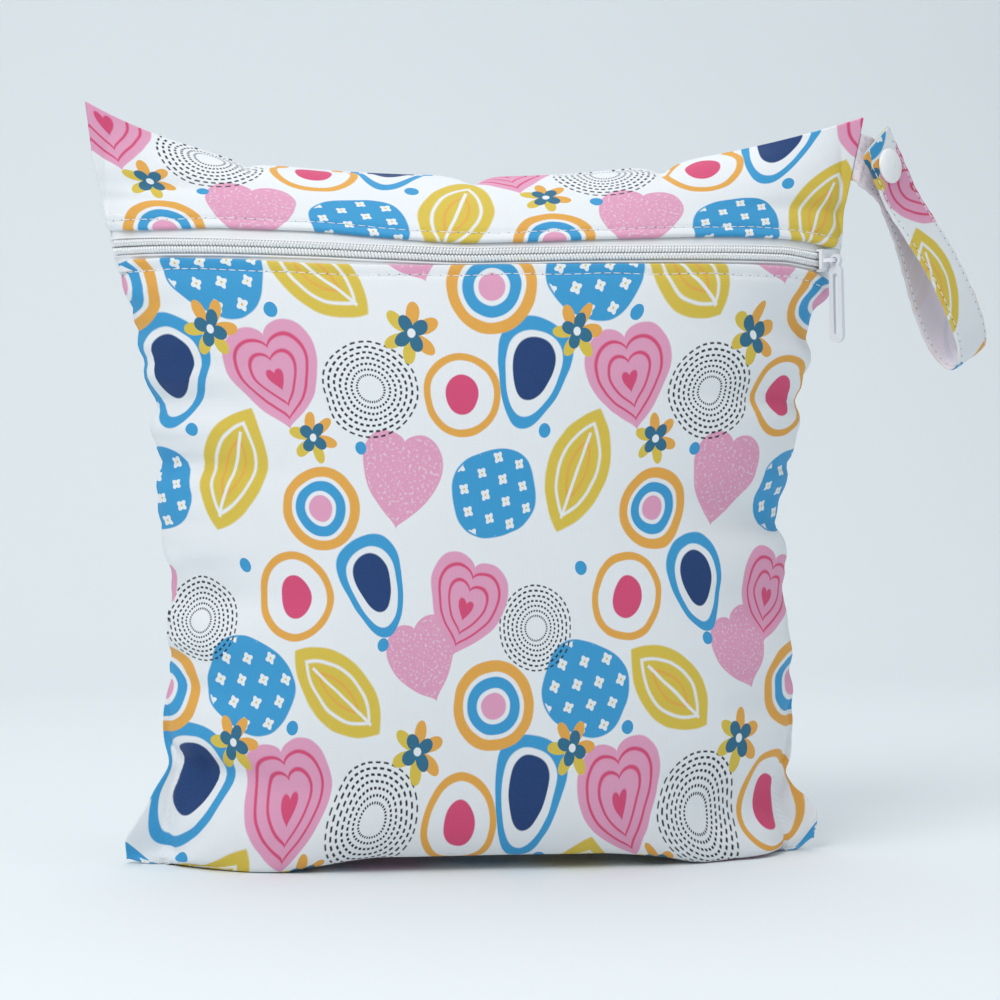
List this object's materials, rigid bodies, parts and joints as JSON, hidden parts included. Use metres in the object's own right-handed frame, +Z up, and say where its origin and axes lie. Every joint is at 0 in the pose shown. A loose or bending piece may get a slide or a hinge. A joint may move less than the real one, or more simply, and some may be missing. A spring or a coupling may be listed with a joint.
{
  "type": "diaper pouch",
  "caption": "Zipped cloth pouch with gathered side seams, filled out and standing, and a carrying strap closed into a loop by a plastic press stud.",
  "frame": {"origin": "on the floor that the pouch stands on, under the middle of the whole piece with its strap", "axes": "+X to the side that the strap is on, along the width; +Y to the back; +Z up. The zip is on the front, towards -Y"},
  "size_m": [0.3532, 0.1026, 0.281],
  "materials": {
    "printed_cloth": "laminated knit cloth, white with a bright print",
    "zip_tape": "woven polyester tape",
    "zip_coil": "white nylon coil",
    "slider_plastic": "translucent white moulded plastic",
    "pull_plastic": "translucent white moulded plastic",
    "snap_plastic": "glossy white plastic"
  },
  "bodies": {
    "pouch": {"back_panel": "printed_cloth", "front_panel_lower": "printed_cloth", "front_panel_upper": "printed_cloth", "zip_tape_lower": "zip_tape", "zip_tape_upper": "zip_tape", "zip_coil_lower": "zip_coil", "zip_coil_upper": "zip_coil", "zip_slider": "slider_plastic", "strap": "printed_cloth", "snap_cap": "snap_plastic", "snap_socket": "snap_plastic", "snap_stud": "snap_plastic", "snap_back_cap": "snap_plastic"},
    "pull": {"zip_pull": "pull_plastic"}
  },
  "joints": [
    {"name": "pull_swing", "type": "hinge", "parent": "pouch", "child": "pull", "pos_m": [0.10328, -0.01455, 0.22521], "axis": [-0.7679, -0.6397, -0.0347], "range_deg": [-5, 165]}
  ]
}
